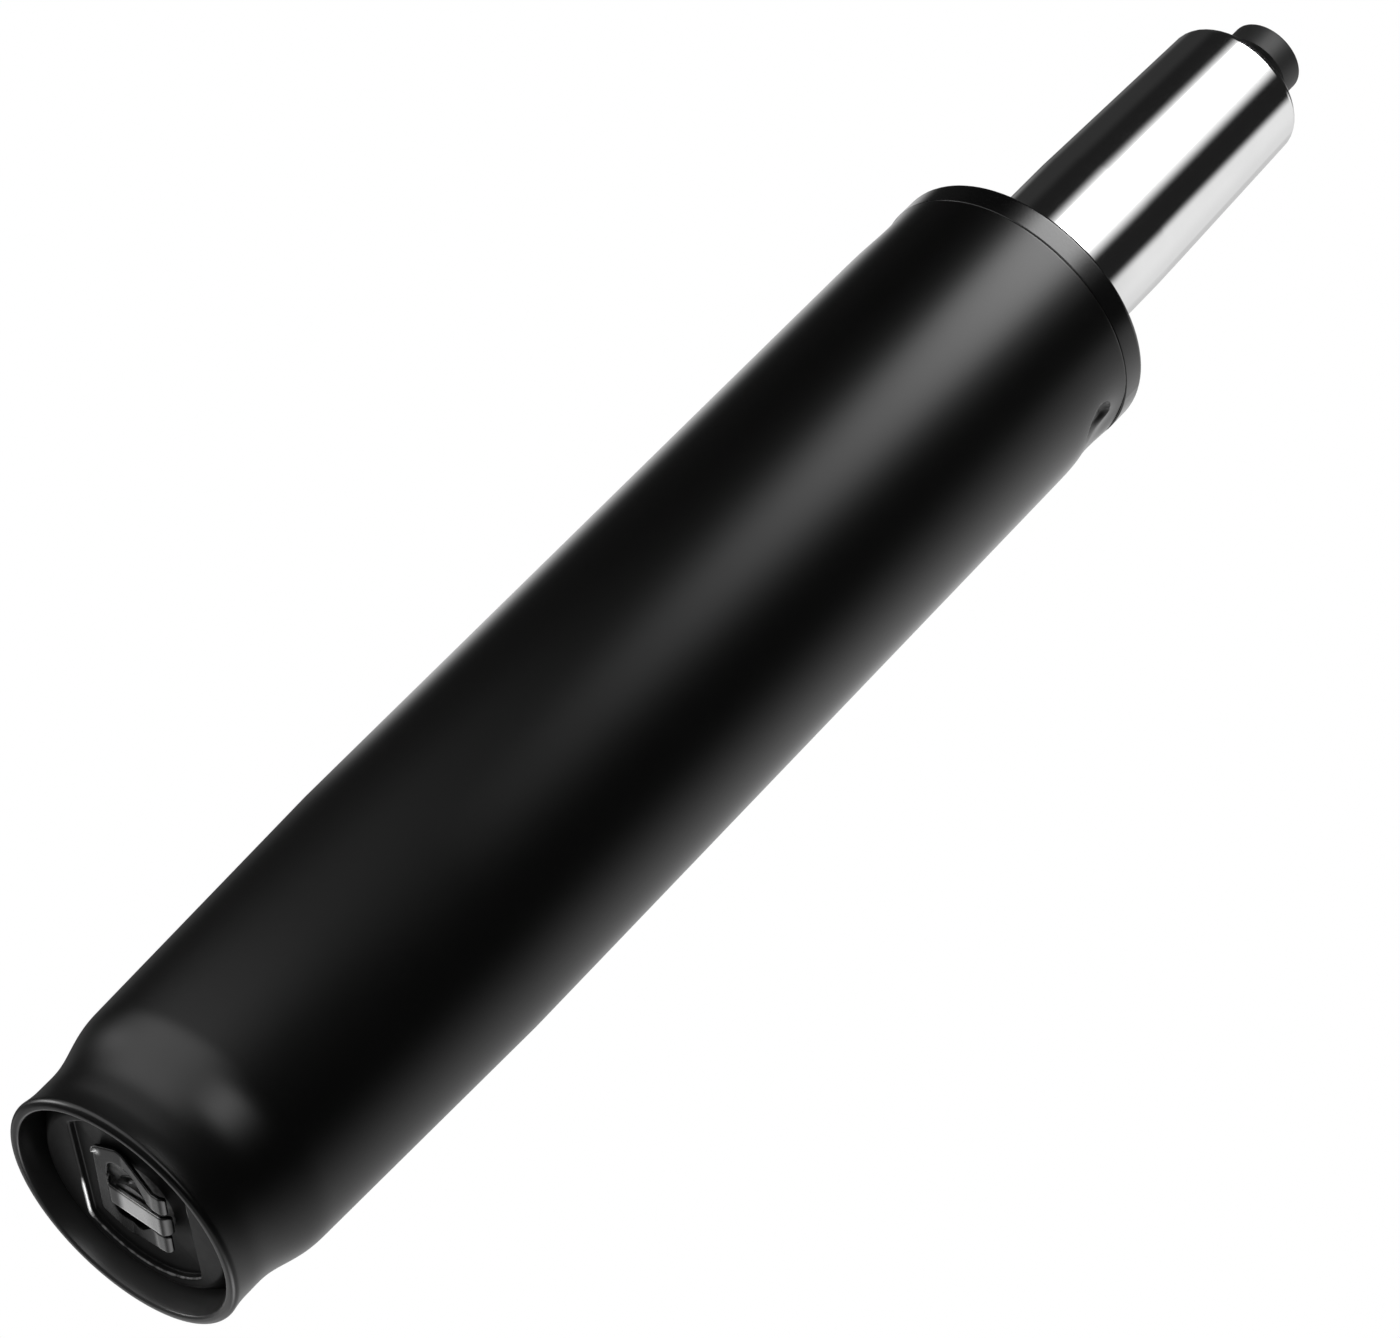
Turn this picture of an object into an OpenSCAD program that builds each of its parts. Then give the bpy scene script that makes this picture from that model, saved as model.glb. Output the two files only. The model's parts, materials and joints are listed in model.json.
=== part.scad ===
// Gas lift cylinder for a swivel chair, standing upright and fully compressed.
// Origin: centre of the mouth rim at the lower end. +Z runs up the column axis.
// The column tube sits in the chair base, the chromed pressure tube carries the seat,
// and the rod inside joins them through a ball thrust bearing.

/* [Column tube] */
// Outer diameter of the column tube
column_d = 50; // [48:0.5:60]
// Height from the mouth rim to the top of the guide flange
column_l = 230; // [215:1:300]
// Wall of the column tube
column_wall = 2; // [1.6:0.1:2.2]
// Height at which the lower taper reaches the full diameter
column_taper_l = 70; // [50:1:90]
// Length over which both mounting tapers lose one millimetre of diameter
taper_ratio = 20; // [18:1:24]

/* [Neck and mouth] */
// Diameter at the waist of the swaged neck
neck_d = 43; // [42:0.1:44.5]
// Height of the waist above the rim
neck_l = 8; // [7:0.5:10]
// Height of the S-shaped shoulder above the waist
shoulder_l = 11; // [9:0.5:14]
// Growth of the radius from the waist down to the rim
rim_flare = 0.25; // [0:0.05:0.4]
// Rounding of both edges of the rim
rim_round = 0.6; // [0.3:0.1:0.7]

/* [Staking dents] */
// Distance of the two dents below the top of the column
dent_below_top = 10; // [8:0.5:14]
// Depth of the soft draw-in round each dent
dent_depth = 1.1; // [0.6:0.05:1.2]
// Length of the draw-in along the column
dent_l = 10.5; // [9:0.5:14]
// Radius that the draw-in has round the column, larger than the tube's own
dent_r = 30; // [28:0.5:34]
// Width of the punched crater
punch_d = 4.2; // [3.5:0.1:4.5]
// Depth of the punched crater below the tube's surface
punch_depth = 1.9; // [1.5:0.05:2]

/* [Guide bush] */
// Length of the guide bush below its flange
bush_l = 100; // [70:1:120]
// Wall of the sleeve between its lands
bush_wall = 3; // [2:0.1:4.5]
// Height of the flange that closes the top of the column
flange_h = 5; // [3:0.1:6]
// Amount by which the flange is smaller in diameter than the tube
flange_step = 0.2; // [0.1:0.1:1]
// Rounding of the flange's upper edge
flange_round = 1; // [0.3:0.1:1.2]
// Rounding of the two edges that meet in the seam below the flange
seam_round = 0.25; // [0.1:0.05:0.4]
// Height of the upper land, which the dents lock
upper_land_h = 22; // [18:1:30]
// Height of the lower land
lower_land_h = 12; // [8:1:20]
// Number of ribs between the lands
bush_ribs = 8; // [4:1:12]
// Thickness of each rib
rib_t = 2.4; // [1.5:0.1:3.5]

/* [Bearing cup] */
// Height of the cup's lower face above the rim
mouth_depth = 3; // [2.8:0.1:4]
// Rise of the bevel round the cup's lower face
cup_bevel_h = 2.5; // [1.5:0.1:3]
// Radial width of the bevel
cup_bevel_w = 2.4; // [1.5:0.1:2.8]
// Distance between the two flats of the clip pocket
pocket_w = 22.4; // [21:0.1:23]
// Diameter of the pocket across its round ends
pocket_d = 30.4; // [28:0.1:31]
// Angle of the pocket's flats about the column axis
pocket_turn = -12; // [-45:1:45]
// Depth of the pocket
pocket_depth = 1.2; // [1.1:0.1:1.8]
// Thickness of the cup between the pocket and the bearing
cup_floor_t = 4.8; // [3:0.1:6]

/* [Thrust bearing] */
// Outer diameter of the bearing races
race_d = 32; // [28:0.5:33]
// Thickness of each race
race_t = 2; // [1.5:0.1:3]
// Diameter of the balls
ball_d = 5; // [4:0.25:5.5]
// Number of balls
ball_count = 10; // [6:1:11]
// Depth of the ball track in each race
track_depth = 0.5; // [0.3:0.05:0.7]
// Thickness of the ball cage
cage_t = 1.4; // [1:0.1:2]
// Radial width of the cage on each side of the ball circle
cage_w = 4; // [3.5:0.1:4.4]

/* [Rod and clip] */
// Diameter of the piston rod
rod_d = 10; // [9.5:0.1:11]
// Diameter of the rod's lower spigot
spigot_d = 8; // [7:0.1:8.6]
// Diameter at the bottom of the clip groove
groove_d = 5.6; // [5:0.1:6.2]
// Thickness of the rod head below the groove
head_t = 0.5; // [0.4:0.05:0.7]
// Diameter of the rod head
head_d = 7.4; // [6.8:0.1:7.6]
// Thickness of the retaining clip
clip_t = 0.7; // [0.5:0.05:0.8]
// Width of the clip's closed end
clip_w = 13.4; // [12:0.1:14]
// Width of the clip across its bowed arms
clip_span = 19.6; // [18.4:0.1:19.8]
// Width across the tips of the two arms
tips_w = 11; // [9.5:0.1:12]
// Distance from the rod axis to the clip's closed end
clip_back = 7.2; // [6.8:0.1:7.4]
// Distance from the rod axis to the clip's widest place, towards its closed end
bow_back = 2.3; // [1.5:0.1:3]
// Distance from the rod axis to the tips of the clip's arms
clip_reach = 6.4; // [6:0.1:7]
// Length of the window between the arms
window_l = 7; // [6.4:0.1:7.2]
// Width of the window between the arms
window_w = 12.6; // [11:0.1:13]
// Width of the middle tongue that locks over the rod head
tongue_w = 4; // [3:0.1:4.4]
// Gap between the tongue and each arm
clip_slit = 0.6; // [0.4:0.05:0.8]
// How far the arms dip towards the mouth before their tips curl back
arm_dip = 0.9; // [0.5:0.1:1.2]
// How far the tongue dips before its tip curls back
tongue_dip = 0.7; // [0.2:0.1:0.8]
// How far the tips of the arms and the tongue curl back
tip_curl = 0.5; // [0.3:0.1:0.8]
// Rest angle of the clip about the column axis
clip_turn = -9; // [-45:1:45]

/* [Buffer] */
// Thickness of the washer under the buffer
washer_t = 1.5; // [1:0.1:2.5]
// Diameter of the washer
washer_d = 31; // [28:0.5:32]
// Height of the rubber buffer
buffer_h = 9; // [6:0.5:14]
// Diameter of the rubber buffer
buffer_d = 26; // [20:0.5:27.5]

/* [Pressure tube] */
// Outer diameter of the pressure tube
pressure_d = 28; // [27.5:0.1:29]
// Wall of the pressure tube
pressure_wall = 1.6; // [1.3:0.05:1.7]
// Height of the tube's top above the column when compressed
stick_out = 64.4; // [58:0.1:80]
// Length of the upper mounting taper
top_taper_l = 41; // [36:1:46]
// Thickness of the rolled ends of the tube
lip_t = 2; // [1.5:0.1:3]
// Rounding of the tube's top edge
top_round = 1.6; // [0.5:0.1:1.6]
// Bore of the swaged top that holds the valve
swage_d = 22.4; // [22.2:0.1:22.8]
// Opening in the rolled top
top_hole_d = 11; // [10:0.1:12]

/* [Inside the pressure tube] */
// Working stroke of the lift
stroke = 100; // [60:1:120]
// Outer diameter of the liner that the piston slides in
liner_d = 22; // [21.6:0.1:22.2]
// Wall of the liner
liner_wall = 1; // [0.8:0.05:1.2]
// Thickness of the washer behind the rod seal
seal_washer_t = 1.6; // [1:0.1:2.5]
// Height of the rod seal
seal_h = 8; // [6:0.5:10]
// Height of the rod guide's flange
guide_flange_h = 6.5; // [5:0.5:10]
// Length of the rod guide's spigot in the liner
guide_spigot_l = 12; // [8:0.5:16]
// Outer diameter of the stop tube that limits the stroke
stop_tube_d = 18; // [16:0.1:19]
// Height of the piston
piston_h = 10; // [8:0.5:14]
// Thickness of the piston washer
piston_washer_t = 1.5; // [1:0.1:2.5]
// Height of the piston nut
nut_h = 4; // [3:0.1:5]
// Width of the nut across its flats
nut_af = 9; // [8.5:0.1:11]
// Diameter of the rod's upper stud, which holds the piston
stud_d = 6; // [5:0.1:6.5]

/* [Valve and button] */
// Length of the valve body between the liner and the rolled top
valve_l = 28; // [26:0.5:32]
// Length of the valve body's spigot in the liner
valve_spigot_l = 6; // [5.5:0.1:8]
// Height of the valve body's neck above the tube's top
valve_neck_h = 0.8; // [0.4:0.1:1.5]
// Diameter of the valve pin
pin_d = 4; // [3.5:0.1:4.5]
// Diameter of the pin's valve head
pin_head_d = 7; // [6.4:0.1:7.6]
// Diameter of the button's stem
stem_d = 6.6; // [6.2:0.1:7.4]
// Diameter of the release button
button_d = 13.8; // [12:0.1:16]
// Height of the release button's cap
button_h = 4.8; // [4.5:0.1:8]
// Rounding of the button's edge
button_round = 0.5; // [0.2:0.1:0.9]
// Travel of the release button
button_travel = 4; // [2:0.1:4]
// Thickness of the rubber in the sealing rings
o_ring_t = 2; // [1.7:0.05:2.2]

/* [Fits] */
// Radial clearance of a part that slides or turns in a bore
running_gap = 0.05; // [0.03:0.01:0.08]
// Clearance between two fixed parts at their seat
seat_gap = 0.03; // [0.02:0.01:0.05]
// Clearance between parts that move past each other
free_gap = 0.3; // [0.25:0.05:0.4]

/* [Hidden] */

$fn = 96;
arc_steps = 6;
shoulder_steps = 12;
past = 1; // how far a cutting solid runs past the face that it cuts

// Column heights
tube_top_z = column_l - flange_h;
dent_z = column_l - dent_below_top;
tube_r = column_d / 2;
bore_r = tube_r - column_wall;
dent_push = punch_depth - column_wall / 2;

// Bearing stack, from the mouth up
pocket_z = mouth_depth + pocket_depth;
race_seat_z = pocket_z + cup_floor_t;
ball_r = ball_d / 2;
ball_z = race_seat_z + race_t - track_depth + ball_r + running_gap;
upper_race_z = ball_z + ball_r + running_gap - track_depth;
track_r = ball_r + running_gap;
shoulder_z = upper_race_z + race_t + washer_t;
buffer_top_z = shoulder_z + buffer_h;
cup_bore_r = race_d / 2 + seat_gap;
cup_clear_r = max(race_d, washer_d) / 2 + 2 * free_gap;
cup_top_z = max(race_seat_z + race_t, neck_l + shoulder_l);
ball_circle_r = (race_d + rod_d) / 4 + ball_d / 10;

// Retaining clip on the rod's lower end
clip_z = pocket_z - free_gap - clip_t;
head_z = clip_z - seat_gap - head_t;
tongue_z = head_z - seat_gap - clip_t;
lock_u = head_d / 2 + clip_t / 4;
root_u = lock_u + clip_z - tongue_z;
curl_u = clip_reach - 2 * tip_curl;
slit_v = tongue_w / 2 + clip_slit;

// Pressure tube, from its rolled bottom up
pressure_r = pressure_d / 2;
pressure_z = buffer_top_z + free_gap;
pressure_top_z = column_l + stick_out;
pressure_bore_r = pressure_r - pressure_wall;
top_taper_z = pressure_top_z - top_taper_l;
top_r = pressure_r - top_taper_l / (2 * taper_ratio);
bottom_hole_r = rod_d / 2 + 3 * free_gap;

// Rod seal and guide in the tube's lower end
fit_r = pressure_bore_r - seat_gap;
washer_z = pressure_z + lip_t;
seal_z = washer_z + seal_washer_t;
guide_z = seal_z + seal_h;
liner_z = guide_z + guide_flange_h;
guide_top_z = liner_z + guide_spigot_l;
liner_r = liner_d / 2;
liner_bore_r = liner_r - liner_wall;
spigot_fit_r = liner_bore_r - seat_gap;

// Valve in the tube's upper end
lip_z = pressure_top_z - lip_t;
valve_z = lip_z - valve_l;
valve_bottom_z = valve_z - valve_spigot_l;
valve_r = swage_d / 2 - seat_gap;
swage_z = valve_z - (pressure_bore_r - swage_d / 2);
o_ring_r = o_ring_t / 2;
o_ring_zs = [valve_z + valve_l * 0.3, valve_z + valve_l * 0.6];
pin_seal_top_z = o_ring_zs[1] + 2 * o_ring_t;
pin_bore_r = pin_d / 2 + running_gap;
stem_bore_r = stem_d / 2 + running_gap;
pin_head_t = 2;
pin_head_gap = valve_spigot_l / 6;
pin_head_z = valve_z - pin_head_gap - pin_head_t;

// Button
button_z = pressure_top_z + valve_neck_h + button_travel + free_gap;
button_top_z = button_z + button_h;
stem_z = pin_seal_top_z + button_travel + free_gap;
pin_top_z = button_z + button_h / 2;

// Piston on the rod's upper end
nut_top_z = valve_bottom_z - button_travel - free_gap;
piston_nut_z = nut_top_z - nut_h;
piston_washer_z = piston_nut_z - piston_washer_t;
piston_z = piston_washer_z - piston_h;
piston_r = liner_bore_r - running_gap;
stop_top_z = piston_z - stroke - free_gap;

// Smooth step from 0 to 1
function smooth(x) = x <= 0 ? 0 : x >= 1 ? 1 : x * x * (3 - 2 * x);

// Outer radius of the column: flared rim, waist, S-shaped shoulder, taper, straight tube
function taper_r(z) = tube_r - max(0, column_taper_l - z) / (2 * taper_ratio);
function column_r(z) =
    neck_d / 2
    + rim_flare * pow(max(0, 1 - z / neck_l), 2)
    + (taper_r(z) - neck_d / 2) * smooth((z - neck_l) / shoulder_l);

// Points on an arc, from angle a to angle b
function arc(x, y, r, a, b) =
    [for (i = [0:arc_steps]) let(t = a + (b - a) * i / arc_steps) [x + r * cos(t), y + r * sin(t)]];

function shoulder_zs() = [for (i = [0:shoulder_steps]) neck_l + shoulder_l * i / shoulder_steps];
function neck_zs(from) =
    [for (i = [0:arc_steps - 1]) from + (neck_l - from) * i / arc_steps];

// A ring turned about the column axis
module ring(r_in, r_out, z, h) {
    rotate_extrude() translate([r_in, z]) square([r_out - r_in, h]);
}

// A rubber ring of round section
module o_ring(r, z, section_r) {
    rotate_extrude() translate([r, z]) circle(section_r, $fn = 32);
}

// Flat outline of a rectangle with round corners, centred on the axis
module rounded_rect(u, v, r) {
    square([u - 2 * r, v], center = true);
    square([u, v - 2 * r], center = true);
    for (x = [-1, 1], y = [-1, 1]) {
        translate([x * (u / 2 - r), y * (v / 2 - r)]) circle(r, $fn = 48);
    }
}

// Black steel column: swaged neck, lower taper, straight tube and two staking dents
module column_tube() {
    zs = concat(neck_zs(rim_round), shoulder_zs(), [column_taper_l]);
    rim_r = column_r(rim_round);
    outer = [for (z = zs) [column_r(z), z]];
    top = arc(tube_r - seam_round, tube_top_z - seam_round, seam_round, 0, 90);
    inner = [for (i = [len(zs) - 1:-1:0]) [column_r(zs[i]) - column_wall, zs[i]]];
    rim_in = arc(rim_r - column_wall + rim_round, rim_round, rim_round, 180, 270);
    rim_out = arc(rim_r - rim_round, rim_round, rim_round, 270, 360);
    draw_in_r = (pow(dent_l / 2, 2) + pow(dent_depth, 2)) / (2 * dent_depth);
    draw_in_x = tube_r - dent_depth - dent_r;
    punch_r = (pow(punch_d / 2, 2) + pow(punch_depth, 2)) / (2 * punch_depth);
    color([0.07, 0.07, 0.08]) difference() {
        union() {
            rotate_extrude() polygon(concat(outer, top, [[bore_r, tube_top_z]], inner, rim_in, rim_out));
            // Metal pushed inwards behind each dent
            for (side = [0, 180]) rotate([0, 0, side]) intersection() {
                translate([bore_r + punch_d / 2 - dent_push, 0, dent_z]) sphere(punch_d / 2);
                translate([0, 0, dent_z - punch_d]) cylinder(r = tube_r - column_wall / 2, h = 2 * punch_d);
            }
        }
        for (side = [0, 180]) rotate([0, 0, side]) {
            translate([draw_in_x, 0, 0]) o_ring(dent_r + draw_in_r, dent_z, draw_in_r);
            translate([tube_r - punch_depth + punch_r, 0, dent_z]) sphere(punch_r);
        }
    }
}

// Plastic guide: flange on top of the tube, ribbed sleeve inside it
module guide_bush() {
    land_r = bore_r - seat_gap;
    slide_r = pressure_r + running_gap;
    sleeve_r = slide_r + bush_wall;
    flange_r = tube_r - flange_step / 2;
    bottom_z = tube_top_z - bush_l;
    rib_h = bush_l - upper_land_h - lower_land_h;
    color([0.06, 0.06, 0.07]) difference() {
        union() {
            rotate_extrude() polygon(concat(
                [[slide_r, bottom_z], [land_r, bottom_z], [land_r, bottom_z + lower_land_h],
                 [sleeve_r, bottom_z + lower_land_h], [sleeve_r, tube_top_z - upper_land_h],
                 [land_r, tube_top_z - upper_land_h], [land_r, tube_top_z]],
                arc(flange_r - seam_round, tube_top_z + seam_round, seam_round, -90, 0),
                arc(flange_r - flange_round, column_l - flange_round, flange_round, 0, 90),
                [[slide_r, column_l]]));
            for (i = [0:bush_ribs - 1]) rotate([0, 0, 360 * (i + 0.5) / bush_ribs]) {
                rib_in = slide_r + bush_wall / 2;
                translate([rib_in, -rib_t / 2, bottom_z + lower_land_h])
                    cube([land_r - rib_in - free_gap, rib_t, rib_h]);
            }
        }
        // Recesses that the dents lock into
        for (side = [0, 180]) rotate([0, 0, side]) {
            translate([land_r - dent_push - free_gap, 0, dent_z]) rotate([0, 90, 0])
                cylinder(d = punch_d + 2 * free_gap, h = dent_push + free_gap + past);
        }
    }
}

// Steel cup in the neck: carries the thrust bearing, with a pocket for the clip below
module bearing_cup() {
    edge_z = mouth_depth + cup_bevel_h;
    zs = concat([edge_z], [for (z = shoulder_zs()) if (z > edge_z && z < cup_top_z) z], [cup_top_z]);
    outer = [for (z = zs) [column_r(z) - column_wall - seat_gap, z]];
    bore = spigot_d / 2 + running_gap;
    clear_z = race_seat_z + race_t / 2;
    color([0.16, 0.16, 0.17]) difference() {
        rotate_extrude() polygon(concat(
            [[bore, mouth_depth], [outer[0][0] - cup_bevel_w, mouth_depth]],
            outer,
            [[cup_clear_r, cup_top_z], [cup_clear_r, clear_z], [cup_bore_r, clear_z],
             [cup_bore_r, race_seat_z], [bore, race_seat_z]]));
        rotate([0, 0, pocket_turn]) translate([0, 0, mouth_depth - past]) intersection() {
            cylinder(h = pocket_depth + past, r = pocket_d / 2);
            translate([-pocket_w / 2, -pocket_d, -past]) cube([pocket_w, 2 * pocket_d, pocket_depth + 3 * past]);
        }
    }
}

// A race with its ball track cut into one face
module race(bore, z) {
    color([0.62, 0.62, 0.63]) difference() {
        ring(bore, race_d / 2, z, race_t);
        o_ring(ball_circle_r, ball_z, track_r);
    }
}

module lower_race() {
    race(spigot_d / 2 + 2 * free_gap, race_seat_z);
}

module upper_race() {
    race(spigot_d / 2 + seat_gap, upper_race_z);
}

// Positions of the balls round their circle
module at_each_ball() {
    for (i = [0:ball_count - 1]) rotate([0, 0, 360 * i / ball_count])
        translate([ball_circle_r, 0, ball_z]) children();
}

module ball_cage() {
    color([0.75, 0.62, 0.3]) difference() {
        ring(ball_circle_r - cage_w, ball_circle_r + cage_w, ball_z - cage_t / 2, cage_t);
        at_each_ball() cylinder(r = ball_r + 2 * running_gap, h = 2 * cage_t, center = true);
    }
}

module bearing_balls() {
    color([0.8, 0.8, 0.8]) at_each_ball() sphere(ball_r, $fn = 48);
}

// Rod with a head, clip groove and spigot below, and a threaded stud for the piston above
module piston_rod() {
    color([0.7, 0.7, 0.71]) rotate_extrude() polygon([
        [0, head_z], [head_d / 2, head_z], [head_d / 2, clip_z - seat_gap],
        [groove_d / 2, clip_z - seat_gap], [groove_d / 2, clip_z + clip_t + seat_gap],
        [spigot_d / 2, clip_z + clip_t + seat_gap], [spigot_d / 2, shoulder_z],
        [rod_d / 2, shoulder_z], [rod_d / 2, piston_z],
        [stud_d / 2, piston_z], [stud_d / 2, nut_top_z], [0, nut_top_z]]);
}

module buffer_washer() {
    color([0.6, 0.6, 0.62]) ring(spigot_d / 2 + seat_gap, washer_d / 2, upper_race_z + race_t, washer_t);
}

// Rubber ring that cushions the bottom of the stroke, with a waist round its middle
module rubber_buffer() {
    waist_r = buffer_h / 8;
    color([0.1, 0.1, 0.1]) difference() {
        ring(rod_d / 2 + running_gap, buffer_d / 2, shoulder_z, buffer_h);
        o_ring(buffer_d / 2 + waist_r / 2, shoulder_z + buffer_h / 2, waist_r);
    }
}

// A strip of clip steel in side view: its lower face follows the points [along, height]
module bent_strip(width, lower) {
    upper = [for (i = [len(lower) - 1:-1:0]) lower[i] + [0, clip_t]];
    translate([0, width / 2, 0]) rotate([90, 0, 0]) linear_extrude(width) polygon(concat(lower, upper));
}

// Flat outline of the clip: closed end, bowed arms, and the window that the tongue crosses
module clip_outline() {
    chamfer = clip_t;
    half = [
        [-clip_back, clip_w / 2 - chamfer], [-clip_back + chamfer, clip_w / 2],
        [-bow_back - chamfer, clip_span / 2], [-bow_back + chamfer, clip_span / 2],
        [clip_reach, tips_w / 2]];
    window_u = groove_d / 2 - clip_slit - window_l / 2;
    difference() {
        polygon(concat(half, [for (i = [len(half) - 1:-1:0]) [half[i].x, -half[i].y]]));
        translate([window_u, 0]) rounded_rect(window_l, window_w, window_l / 2 - clip_slit);
        translate([window_u, -slit_v]) square([clip_reach - window_u + past, 2 * slit_v]);
    }
}

// Spring clip: two bowed arms hold the rod's groove and a bent tongue locks over its head
module retaining_clip() {
    arm_z = clip_z - arm_dip;
    tip_z = tongue_z - tongue_dip;
    color([0.55, 0.55, 0.56]) rotate([0, 0, clip_turn]) {
        intersection() {
            linear_extrude(clip_z + 2 * clip_t) clip_outline();
            bent_strip(clip_span, [
                [-clip_back, clip_z], [lock_u - clip_slit, clip_z],
                [curl_u, arm_z], [clip_reach, arm_z + tip_curl]]);
        }
        bent_strip(tongue_w, [
            [-clip_back + clip_t, clip_z], [-root_u, clip_z], [-lock_u, tongue_z],
            [curl_u, tip_z], [clip_reach, tip_z + tip_curl]]);
    }
}

// Radius of the groove that a sealing ring of this outer radius lies in
function groove_r(outer_r) = outer_r - o_ring_t - seat_gap;

module piston() {
    groove_h = o_ring_t + 2 * seat_gap;
    seal_mid_z = piston_z + piston_h / 2;
    color([0.85, 0.82, 0.72]) difference() {
        ring(stud_d / 2 + seat_gap, piston_r, piston_z, piston_h);
        ring(groove_r(piston_r), piston_r + past, seal_mid_z - groove_h / 2, groove_h);
    }
}

module piston_seal() {
    color([0.08, 0.08, 0.08]) o_ring(piston_r - o_ring_r, piston_z + piston_h / 2, o_ring_r);
}

module piston_washer() {
    color([0.6, 0.6, 0.62])
        ring(stud_d / 2 + seat_gap, piston_r - free_gap, piston_washer_z, piston_washer_t);
}

module piston_nut() {
    color([0.65, 0.65, 0.66]) difference() {
        translate([0, 0, piston_nut_z]) cylinder(r = nut_af / sqrt(3), h = nut_h, $fn = 6);
        translate([0, 0, piston_nut_z - past]) cylinder(r = stud_d / 2 + seat_gap, h = nut_h + 2 * past);
    }
}

// Chromed tube: rolled bottom, straight slide, upper mounting taper and swaged valve seat
module pressure_tube() {
    seat_r = swage_d / 2;
    edge_r = top_r + top_round / (2 * taper_ratio);
    color([0.9, 0.9, 0.92]) rotate_extrude() polygon(concat(
        [[bottom_hole_r, pressure_z]],
        arc(pressure_r - lip_t / 2, pressure_z + lip_t / 2, lip_t / 2, 270, 360),
        [[pressure_r, top_taper_z]],
        arc(edge_r - top_round, pressure_top_z - top_round, top_round, 0, 90),
        [[top_hole_d / 2, pressure_top_z], [top_hole_d / 2, lip_z], [seat_r, lip_z], [seat_r, valve_z],
         [pressure_bore_r, swage_z], [pressure_bore_r, washer_z], [bottom_hole_r, washer_z]]));
}

module liner_tube() {
    color([0.7, 0.71, 0.72]) ring(liner_bore_r, liner_r, liner_z, valve_z - liner_z);
}

// Spacer on the rod guide that stops the piston at the end of the stroke
module stop_tube() {
    color([0.2, 0.2, 0.22])
        ring(rod_d / 2 + 2 * free_gap, stop_tube_d / 2, guide_top_z, stop_top_z - guide_top_z);
}

module rod_guide() {
    bore = rod_d / 2 + running_gap;
    color([0.72, 0.6, 0.32]) union() {
        ring(bore, fit_r, guide_z, guide_flange_h);
        ring(bore, spigot_fit_r, liner_z, guide_spigot_l);
    }
}

// Lip seal: the lip runs on the rod, the heel fills the tube's bore
module rod_seal() {
    lip_r = rod_d / 2 + running_gap;
    heel_r = rod_d / 2 + 3 * free_gap;
    color([0.09, 0.09, 0.09]) rotate_extrude() polygon([
        [heel_r, seal_z], [fit_r, seal_z], [fit_r, guide_z], [heel_r, guide_z],
        [lip_r, seal_z + seal_h * 0.7], [lip_r, seal_z + seal_h * 0.5]]);
}

module seal_washer() {
    color([0.6, 0.6, 0.62]) ring(rod_d / 2 + free_gap, fit_r, washer_z, seal_washer_t);
}

// Valve body: spigot in the liner, sealed barrel in the swaged bore, neck in the rolled top
module valve_body() {
    groove_h = o_ring_t + 2 * seat_gap;
    neck_r = top_hole_d / 2 - seat_gap;
    seal_z0 = pin_seal_top_z - groove_h;
    color([0.75, 0.66, 0.4]) difference() {
        rotate_extrude() polygon([
            [0, valve_bottom_z], [spigot_fit_r, valve_bottom_z], [spigot_fit_r, valve_z],
            [valve_r, valve_z], [valve_r, lip_z], [neck_r, lip_z],
            [neck_r, pressure_top_z + valve_neck_h], [0, pressure_top_z + valve_neck_h]]);
        for (z = o_ring_zs) ring(groove_r(valve_r), valve_r + past, z - groove_h / 2, groove_h);
        translate([0, 0, valve_bottom_z - past])
            cylinder(r = pin_head_d / 2 + 2 * free_gap, h = valve_z - valve_bottom_z - pin_head_gap / 2 + past);
        translate([0, 0, valve_bottom_z]) cylinder(r = pin_bore_r, h = button_top_z);
        translate([0, 0, seal_z0]) cylinder(r = pin_bore_r + o_ring_t, h = groove_h);
        translate([0, 0, pin_seal_top_z]) cylinder(r = stem_bore_r, h = button_top_z);
    }
}

module valve_o_rings() {
    color([0.08, 0.08, 0.08]) for (z = o_ring_zs) o_ring(valve_r - o_ring_r, z, o_ring_r);
}

module pin_seal() {
    seal_mid_z = pin_seal_top_z - o_ring_r - seat_gap;
    color([0.08, 0.08, 0.08]) o_ring(pin_bore_r + o_ring_r, seal_mid_z, o_ring_r);
}

// Valve pin: opens the valve with its head when the button pushes it down
module valve_pin() {
    color([0.7, 0.7, 0.71]) {
        translate([0, 0, pin_head_z]) cylinder(d = pin_head_d, h = pin_head_t);
        translate([0, 0, pin_head_z + pin_head_t]) cylinder(d = pin_d, h = pin_top_z - pin_head_z - pin_head_t);
    }
}

module release_button() {
    button_r = button_d / 2;
    stem_r = stem_d / 2;
    color([0.09, 0.09, 0.1]) difference() {
        rotate_extrude() polygon(concat(
            [[0, stem_z], [stem_r, stem_z], [stem_r, button_z]],
            [[button_r, button_z]],
            arc(button_r - button_round, button_top_z - button_round, button_round, 0, 90),
            [[0, button_top_z]]));
        translate([0, 0, stem_z - past])
            cylinder(r = pin_d / 2 + seat_gap, h = pin_top_z + seat_gap - stem_z + past);
    }
}

column_tube();
guide_bush();
bearing_cup();
lower_race();
ball_cage();
bearing_balls();
piston_rod();
upper_race();
buffer_washer();
rubber_buffer();
retaining_clip();
piston();
piston_seal();
piston_washer();
piston_nut();
pressure_tube();
liner_tube();
stop_tube();
rod_guide();
rod_seal();
seal_washer();
valve_body();
valve_o_rings();
pin_seal();
valve_pin();
release_button();
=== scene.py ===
"""Looks of the chair gas lift cylinder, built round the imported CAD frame, in metres."""

import json
import math

import bmesh
import bpy
from mathutils import Matrix, Vector
from mathutils.geometry import delaunay_2d_cdt


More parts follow.
